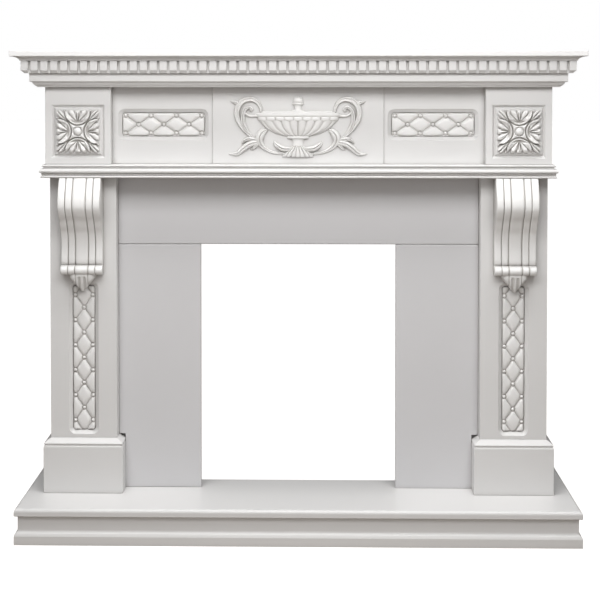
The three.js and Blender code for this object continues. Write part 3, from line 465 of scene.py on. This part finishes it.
def corbel(word, side):
    """S-shaped outline carried across a row of ribs, with a roll below it; under the roll a
    tongue narrows to a tip, grooved where the ribs run on and with two round-topped flutes."""
    top, back = PILASTER_TOP - SEAM, PILASTER_FACE - SEAM
    middle = side * PILASTER_MIDDLE
    curve = smooth_path(
        [(out * CORBEL_DEPTH, down * CORBEL_HEIGHT) for down, out in CORBEL_OUTLINE], 96)
    turn = np.radians(np.linspace(-75, 80, 20))
    roll_radius = ROLL_RADIUS * CORBEL_HEIGHT
    roll = np.stack([ROLL_OUT * CORBEL_DEPTH + roll_radius * np.cos(turn),
                     ROLL_DOWN * CORBEL_HEIGHT + roll_radius * np.sin(turn)], axis=1)
    outline = np.vstack([curve, roll])
    across, sunk = rib_section()
    out, down = outline[:, :1], outline[:, 1:]
    x = middle + (across[None, :] - 0.5) * CORBEL_WIDTH + 0 * out
    y = back - np.maximum(out - CORBEL_GROOVE * sunk[None, :], 1.0)
    front = np.stack([x, y, top - down + 0 * x], axis=2)
    flat = front[:, [-1, 0]].copy()
    flat[:, :, 1] = back
    rings = np.concatenate([front, flat], axis=1)
    hubs = [[middle, back - end[0] / 2, top - end[1]] for end in (outline[0], outline[-1])]
    body = closed_shell(rings, hubs)
    # Painted shade in the grooves between the ribs
    front_hollow = np.tile(np.clip(sunk * 1.1, 0, 1), (len(outline), 1))
    rings_hollow = np.concatenate([front_hollow, np.ones((len(outline), 2))], axis=1)
    body_hollow = np.concatenate([rings_hollow.ravel(), [0.5, 0.5]])

    table = smooth_path(CORBEL_TONGUE, 60)
    fall = table[:, :1]
    width = table[:, 1:2] * CORBEL_WIDTH / 2
    reach = table[:, 2:] * CORBEL_DEPTH
    bow = np.cos(np.linspace(0, np.pi, 61))[None, :]
    tongue_x = bow * width
    lift = reach * np.sqrt(np.clip(1 - np.abs(bow) ** 7, 0, 1))
    groove = bump(np.abs(tongue_x) - 0.15 * CORBEL_WIDTH, 1.2) * smooth_step(reach, 12, 20)
    aside = (np.abs(tongue_x) - FLUTE_PLACE) / FLUTE_HALF
    flute_top = smooth_step(fall - FLUTE_TOP - 0.012 * aside ** 2, 0, 0.01)
    flute = np.clip(1 - aside ** 2, 0, 1) * flute_top
    lift = np.maximum(lift - TONGUE_GROOVE * groove - FLUTE_DEPTH * np.sqrt(flute), 0)
    tongue = np.stack([middle + tongue_x, back - lift,
                       top - fall * CORBEL_HEIGHT + 0 * tongue_x], axis=2)
    # Painted shade in the tongue's grooves and flutes
    tongue_hollow = np.concatenate([np.clip(groove + 0.75 * flute, 0, 1).ravel(), [0.0, 0.0]])
    shell = join_shells([body, closed_shell(tongue)])
    add_piece("carved_corbel_" + word, shell, ornament_paint, ["corbel_" + word],
              np.concatenate([body_hollow, tongue_hollow]), 50.0)


# Urn relief

URN_HEIGHT = 148.0
URN_FOOT = FRIEZE_BOTTOM + 17.5
URN_RELIEF = 17.0
URN_BACK = CENTRE_FACE - SEAM
STEM_FINEST = 0.006        # half of the least width of a stem, as a share of the urn's height


def stem(side, knots, widths, samples, channel=0.0, vein=0.0, rise=1.7):
    """A bowed section, flat behind, swelling and tapering along a smooth curve. The section is a
    half round, hollowed along its middle by the channel, and cut by a fine vein."""
    path = smooth_path(knots, samples)
    slope = np.gradient(path, axis=0)
    slope /= np.linalg.norm(slope, axis=1)[:, None]
    half = np.maximum(smooth_path(np.array(widths)[:, None], samples), STEM_FINEST)
    # The ends close in to rounded points
    t = np.linspace(0, 1, samples)[:, None]
    half = half * np.sqrt(np.clip(1 - np.abs(2 * t - 1) ** 24, 0.02, 1))
    offset = np.cos(np.linspace(0, np.pi, 25))[None, :]
    bow = np.sqrt(np.clip(1 - np.abs(offset) ** 2.6, 0, 1))
    dip = channel * bump(offset, 0.5) + vein * bump(offset, 0.13)
    height = rise * half * np.clip(bow - dip, 0, 1)
    x = side * URN_HEIGHT * (path[:, :1] - slope[:, 1:] * half * offset)
    z = URN_FOOT + URN_HEIGHT * (path[:, 1:] + slope[:, :1] * half * offset)
    # Painted shade towards the stem's edges and along its channel and vein
    hollow = np.concatenate([np.clip(1 - bow + dip + 0 * half, 0, 1).ravel() ** 1.5, [0.0, 0.0]])
    return closed_shell(np.stack([x, URN_BACK - URN_HEIGHT * height, z], axis=2)), hollow


def turned(levels, samples, ribs=None, rib_depth=0.0):
    """Half an ellipse in plan at each height. ribs gives the phase of the gadroons, from the
    place across the ellipse and the height, one gadroon for each whole number."""
    table = smooth_path(levels, samples)
    height, half, depth = table[:, :1], table[:, 1:2], table[:, 2:]
    turn = np.linspace(0, np.pi, 145)[None, :]
    across = np.cos(turn)
    lobe = np.ones_like(across * height)
    if ribs is not None:
        lobe = lobe * np.abs(np.sin(np.pi * ribs(across, height))) ** 0.6
    out = URN_RELIEF * depth * np.sin(turn) ** 0.8 * (1 - rib_depth * (1 - lobe))
    rings = np.stack([URN_HEIGHT * half * across, URN_BACK - out,
                      URN_FOOT + URN_HEIGHT * height + 0 * across], axis=2)
    hubs = [[0, URN_BACK - URN_RELIEF * end[2] / 2, URN_FOOT + URN_HEIGHT * end[0]]
            for end in (table[0], table[-1])]
    # Painted shade in the creases between the gadroons
    hollow = np.concatenate([((1 - lobe) ** 2).ravel(), [0.0, 0.0]])
    return closed_shell(rings, hubs), hollow


def urn_shells():
    """The bowl, its rim, lid, knob and foot are turned. The scrolls, leaves and garlands beside
    them are stems that mirror each other. Points are across and up, and turned levels up,
    half width and depth, as shares of the urn's height and, for depth, of the relief."""
    yield turned([(0.33, 0.16, 0.35), (0.38, 0.36, 0.6), (0.45, 0.5, 0.8), (0.52, 0.58, 0.9),
                  (0.6, 0.645, 0.97)], 40, lambda across, height: across * 4.5, 0.22)
    yield turned([(0.585, 0.62, 0.92), (0.6, 0.66, 1.02), (0.63, 0.67, 1.04),
                  (0.655, 0.672, 0.97)], 16, lambda across, height: across * 4.5 + 0.5, 0.14)
    yield turned([(0.65, 0.66, 0.9), (0.662, 0.69, 1.0), (0.68, 0.7, 1.05), (0.7, 0.7, 1.05),
                  (0.715, 0.69, 0.98)], 14)
    yield turned([(0.7, 0.6, 0.85), (0.72, 0.61, 0.88), (0.738, 0.6, 0.84), (0.75, 0.57, 0.72)], 10)
    yield turned([(0.74, 0.106, 0.6), (0.762, 0.1, 0.58), (0.775, 0.066, 0.48), (0.83, 0.062, 0.45),
                  (0.853, 0.075, 0.5)], 16)
    yield turned([(0.845, 0.07, 0.42), (0.858, 0.095, 0.6), (0.876, 0.095, 0.6),
                  (0.888, 0.082, 0.52)], 10)
    yield turned([(0.885, 0.078, 0.5), (0.9, 0.086, 0.62), (0.935, 0.083, 0.62),
                  (0.97, 0.062, 0.48), (0.99, 0.02, 0.25)], 18)
    yield turned([(0.298, 0.174, 0.58), (0.304, 0.18, 0.62), (0.33, 0.18, 0.62),
                  (0.336, 0.174, 0.58)], 8)
    yield turned([(0.18, 0.095, 0.45), (0.24, 0.09, 0.42), (0.31, 0.11, 0.45)], 10)
    yield turned([(0, 0.265, 0.5), (0.03, 0.25, 0.6), (0.08, 0.2, 0.62), (0.14, 0.13, 0.55),
                  (0.2, 0.08, 0.42)], 30, lambda across, height: across * 3.5 + 0.5, 0.45)
    for side in SIDES.values():
        yield stem(side, [
            (0.7, 0.27), (0.8, 0.36), (0.9, 0.47), (0.98, 0.6), (1.005, 0.73), (0.97, 0.84),
            (0.89, 0.92), (0.77, 0.945), (0.67, 0.9), (0.62, 0.82), (0.6, 0.72)],
            [0.015, 0.035, 0.045, 0.05, 0.045, 0.035, 0.025], 110, channel=0.42)
        yield stem(side, [
            (0.75, 0.34), (0.84, 0.43), (0.895, 0.54), (0.905, 0.66), (0.88, 0.76), (0.81, 0.81),
            (0.76, 0.78), (0.79, 0.745)], [0.012, 0.04, 0.04, 0.035, 0.03, 0.03], 80, vein=0.3)
        yield stem(side, [(0.64, 0.68), (0.77, 0.665), (0.85, 0.7), (0.89, 0.76)],
                   [0.025, 0.022, 0.02], 30)
        yield stem(side, [(0.95, 0.84), (1.02, 0.885), (1.11, 0.905)],
                   [0.035, 0.035, 0.008], 30, vein=0.35)
        yield stem(side, [
            (0.5, 0.44), (0.58, 0.4), (0.625, 0.33), (0.63, 0.26), (0.59, 0.18), (0.5, 0.11),
            (0.38, 0.065), (0.2, 0.05)], [0.03, 0.065, 0.075, 0.055, 0.035, 0.025, 0.025], 90,
            vein=0.35, rise=1.2)
        yield stem(side, [(0.64, 0.26), (0.78, 0.29), (0.87, 0.27), (0.93, 0.21)],
                   [0.03, 0.04, 0.03, 0.01], 40, vein=0.35)
        yield stem(side, [(0.62, 0.24), (0.78, 0.21), (0.9, 0.13), (1.0, 0.05), (1.14, 0.045)],
                   [0.04, 0.055, 0.05, 0.035, 0.01], 60, vein=0.35, rise=1.45)
        yield stem(side, [(0.66, 0.22), (0.72, 0.15), (0.78, 0.11)],
                   [0.04, 0.03, 0.01], 26, vein=0.3)
        yield stem(side, [(0.1, 0.13), (0.24, 0.13), (0.35, 0.19), (0.4, 0.25)],
                   [0.03, 0.05, 0.04, 0.015], 40, vein=0.35)


# Rope line in the sunk band of the architrave

ROPE_PITCH = 3.5
ROPE_RADIUS = 2.3
ROPE_OUT = 7.6             # of its middle beyond the corner blocks' faces
ROPE_HEIGHT = 8.6          # of its middle above the architrave's foot


def rope(name, start, finish):
    """Cord of round section, flattened into two lobes that turn steadily along a straight line."""
    start, finish = np.asarray(start, float), np.asarray(finish, float)
    length = np.linalg.norm(finish - start)
    ahead = (finish - start) / length
    samples = int(length / ROPE_PITCH * 6)
    run = np.linspace(0, length, samples)[:, None]
    turn = np.linspace(0, 2 * np.pi, 10, endpoint=False)[None, :]
    radius = ROPE_RADIUS * (0.8 + 0.2 * np.cos(2 * turn + 2 * np.pi * run / ROPE_PITCH))
    aside = np.cross(ahead, [0, 0, 1])
    rings = (start + ahead * run[..., None] + aside * (radius * np.cos(turn))[..., None]
             + np.array([0, 0, 1]) * (radius * np.sin(turn))[..., None])
    # Painted shade: some over the whole cord, as it lies in a sunk band, and full where the twist
    # narrows it
    hollow = np.clip(0.35 + (ROPE_RADIUS - radius) / (ROPE_RADIUS * 0.3), 0, 1).ravel()
    add_piece(name, closed_shell(rings), ornament_paint, (),
              np.concatenate([hollow, [0.0, 0.0]]), 70.0)


def rope_lines():
    """The rope runs round the front and both ends, just inside the architrave's own seams."""
    half = BLOCK_OUTER + ROPE_OUT
    front = BLOCK_FACE - ROPE_OUT
    height = ARCHITRAVE_BOTTOM + ROPE_HEIGHT
    rope("rope_line_front", [-half + 0.4, front, height], [half - 0.4, front, height])
    for word, side in SIDES.items():
        rope("rope_line_" + word, [side * half, front + ROPE_RADIUS, height],
             [side * half, WALL - 1, height])


# Boards: the solids themselves, painted, with eased edges

WELD_DISTANCE = 0.00001
EASED_WIDTH = 0.0009
EASED_ANGLE = 32


def ease_edges(node):
    """Joins the solid's loose triangles and rounds its sharp edges a little, as sanding does."""
    joined = node.modifiers.new("joined", "WELD")
    joined.merge_threshold = WELD_DISTANCE
    eased = node.modifiers.new("eased", "BEVEL")
    eased.width = EASED_WIDTH
    eased.segments = 2
    eased.limit_method = "ANGLE"
    eased.angle_limit = math.radians(EASED_ANGLE)


def paint_boards():
    """Paints every solid, the ones behind finer carving too."""
    for name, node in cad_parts.items():
        paint = infill_paint if name.startswith("infill") else board_paint
        if name.startswith(("rosette", "corbel", "urn", "pilaster_insert", "frieze_insert")):
            paint = ornament_paint
        node.data.materials.clear()
        node.data.materials.append(paint)
        ease_edges(node)


# Floor, light and camera

FLOOR_HALF = 30.0
FLOOR_HEIGHT = -0.0005
FLOOR_COLOUR = (0.36, 0.32, 0.285, 1.0)
SKY_STRENGTH = 0.22
# Name, place, target, width, height and watts
SOFTBOXES = [
    ("overhead_light", (0, -0.8, 3.2), (0, -0.05, 0.6), 2.8, 1.0, 62),
    ("level_light", (0, -2.6, 1.1), (0, 0, 0.9), 2.6, 0.8, 7),
    ("near_light", (0, -1.3, 1.75), (0, 0, 1.05), 2.0, 0.6, 20),
    ("front_light", (0.05, -2.4, 1.9), (0, 0, 0.95), 2.2, 0.9, 8)]
LENS = 84.0
SENSOR_WIDTH = 36.0
LENS_SHIFT = (0.0200, -0.3126)
CAMERA_PLACE = (0.03805, -3.46084, 1.10704)
CAMERA_TILT = 0.0257602    # downwards, in radians
CAMERA_TURN = 0.0183327    # to the left, in radians


def floor():
    """A wide floor that is white to the eye and gives back only a dim, warm light upwards."""
    mesh = bpy.data.meshes.new("studio_floor")
    corners = [(-1, -1), (1, -1), (1, 1), (-1, 1)]
    mesh.from_pydata([(x * FLOOR_HALF, y * FLOOR_HALF, FLOOR_HEIGHT) for x, y in corners], [],
                     [(0, 1, 2, 3)])
    pale = bpy.data.materials.new("studio_floor")
    pale.use_nodes = True
    tree = pale.node_tree
    tree.nodes.clear()
    seen = Wave(tree, Wave.node(tree, "ShaderNodeLightPath").outputs["Is Camera Ray"])
    shader = Wave.node(tree, "ShaderNodeBsdfPrincipled", {}, {
        "Base Color": FLOOR_COLOUR, "Roughness": 0.9, "Emission Color": seen,
        "Emission Strength": 1.0})
    Wave.node(tree, "ShaderNodeOutputMaterial", {}, {"Surface": Wave(tree, shader.outputs[0])})
    mesh.materials.append(pale)
    ground = bpy.data.objects.new("studio_floor", mesh)
    bpy.context.collection.objects.link(ground)


def soft_light(name, place, target, width, height, watts):
    """A rectangular softbox that looks at its target."""
    light = bpy.data.lights.new(name, "AREA")
    light.shape = "RECTANGLE"
    light.size = width
    light.size_y = height
    light.energy = watts
    lamp = bpy.data.objects.new(name, light)
    lamp.location = place
    ahead = np.asarray(target, float) - np.asarray(place, float)
    yaw = math.atan2(-ahead[0], ahead[1])
    pitch = math.atan2(ahead[2], math.hypot(ahead[0], ahead[1]))
    lamp.rotation_euler = (math.pi / 2 + pitch, 0, yaw)
    lamp.visible_camera = False
    bpy.context.collection.objects.link(lamp)


def studio():
    """White behind everything, an overcast sky, brightest overhead, as fill, and softboxes."""
    world = bpy.data.worlds.new("studio")
    bpy.context.scene.world = world
    world.use_nodes = True
    tree = world.node_tree
    tree.nodes.clear()
    seen = Wave(tree, Wave.node(tree, "ShaderNodeLightPath").outputs["Is Camera Ray"])
    place = Wave(tree, Wave.node(tree, "ShaderNodeTexCoord").outputs["Generated"])
    height = Wave(tree, Wave.node(tree, "ShaderNodeSeparateXYZ", {}, {0: place}).outputs[2])
    overcast = height.combined("MAXIMUM", height, 0.0) * SKY_STRENGTH
    strength = seen + (1 - seen) * overcast
    around = Wave.node(tree, "ShaderNodeBackground", {}, {
        "Color": (1, 1, 1, 1), "Strength": strength})
    Wave.node(tree, "ShaderNodeOutputWorld", {}, {"Surface": Wave(tree, around.outputs[0])})
    for softbox in SOFTBOXES:
        soft_light(*softbox)
    bpy.context.scene.view_settings.view_transform = "Standard"


def camera():
    """The photograph's viewpoint: a long lens, shifted upright, turned a degree to the left."""
    lens = bpy.data.cameras.new("camera")
    lens.sensor_width = SENSOR_WIDTH
    lens.lens = LENS
    lens.shift_x, lens.shift_y = LENS_SHIFT
    viewer = bpy.data.objects.new("camera", lens)
    viewer.location = CAMERA_PLACE
    viewer.rotation_euler = (math.pi / 2 - CAMERA_TILT, 0, CAMERA_TURN)
    bpy.context.collection.objects.link(viewer)
    bpy.context.scene.camera = viewer


paint_boards()
for word, side in SIDES.items():
    rosette(word)
    corbel(word, side)
    quilted_insert("pilaster_insert_" + word, PILASTER_FACE, True)
    quilted_insert("frieze_insert_" + word, FRIEZE_FACE, False)
urn_parts = list(urn_shells())
add_piece("carved_urn", join_shells([shell for shell, hollow in urn_parts]), ornament_paint,
          ["urn_relief"],
          np.concatenate([hollow for shell, hollow in urn_parts]), 50.0)
rope_lines()
floor()
studio()
camera()
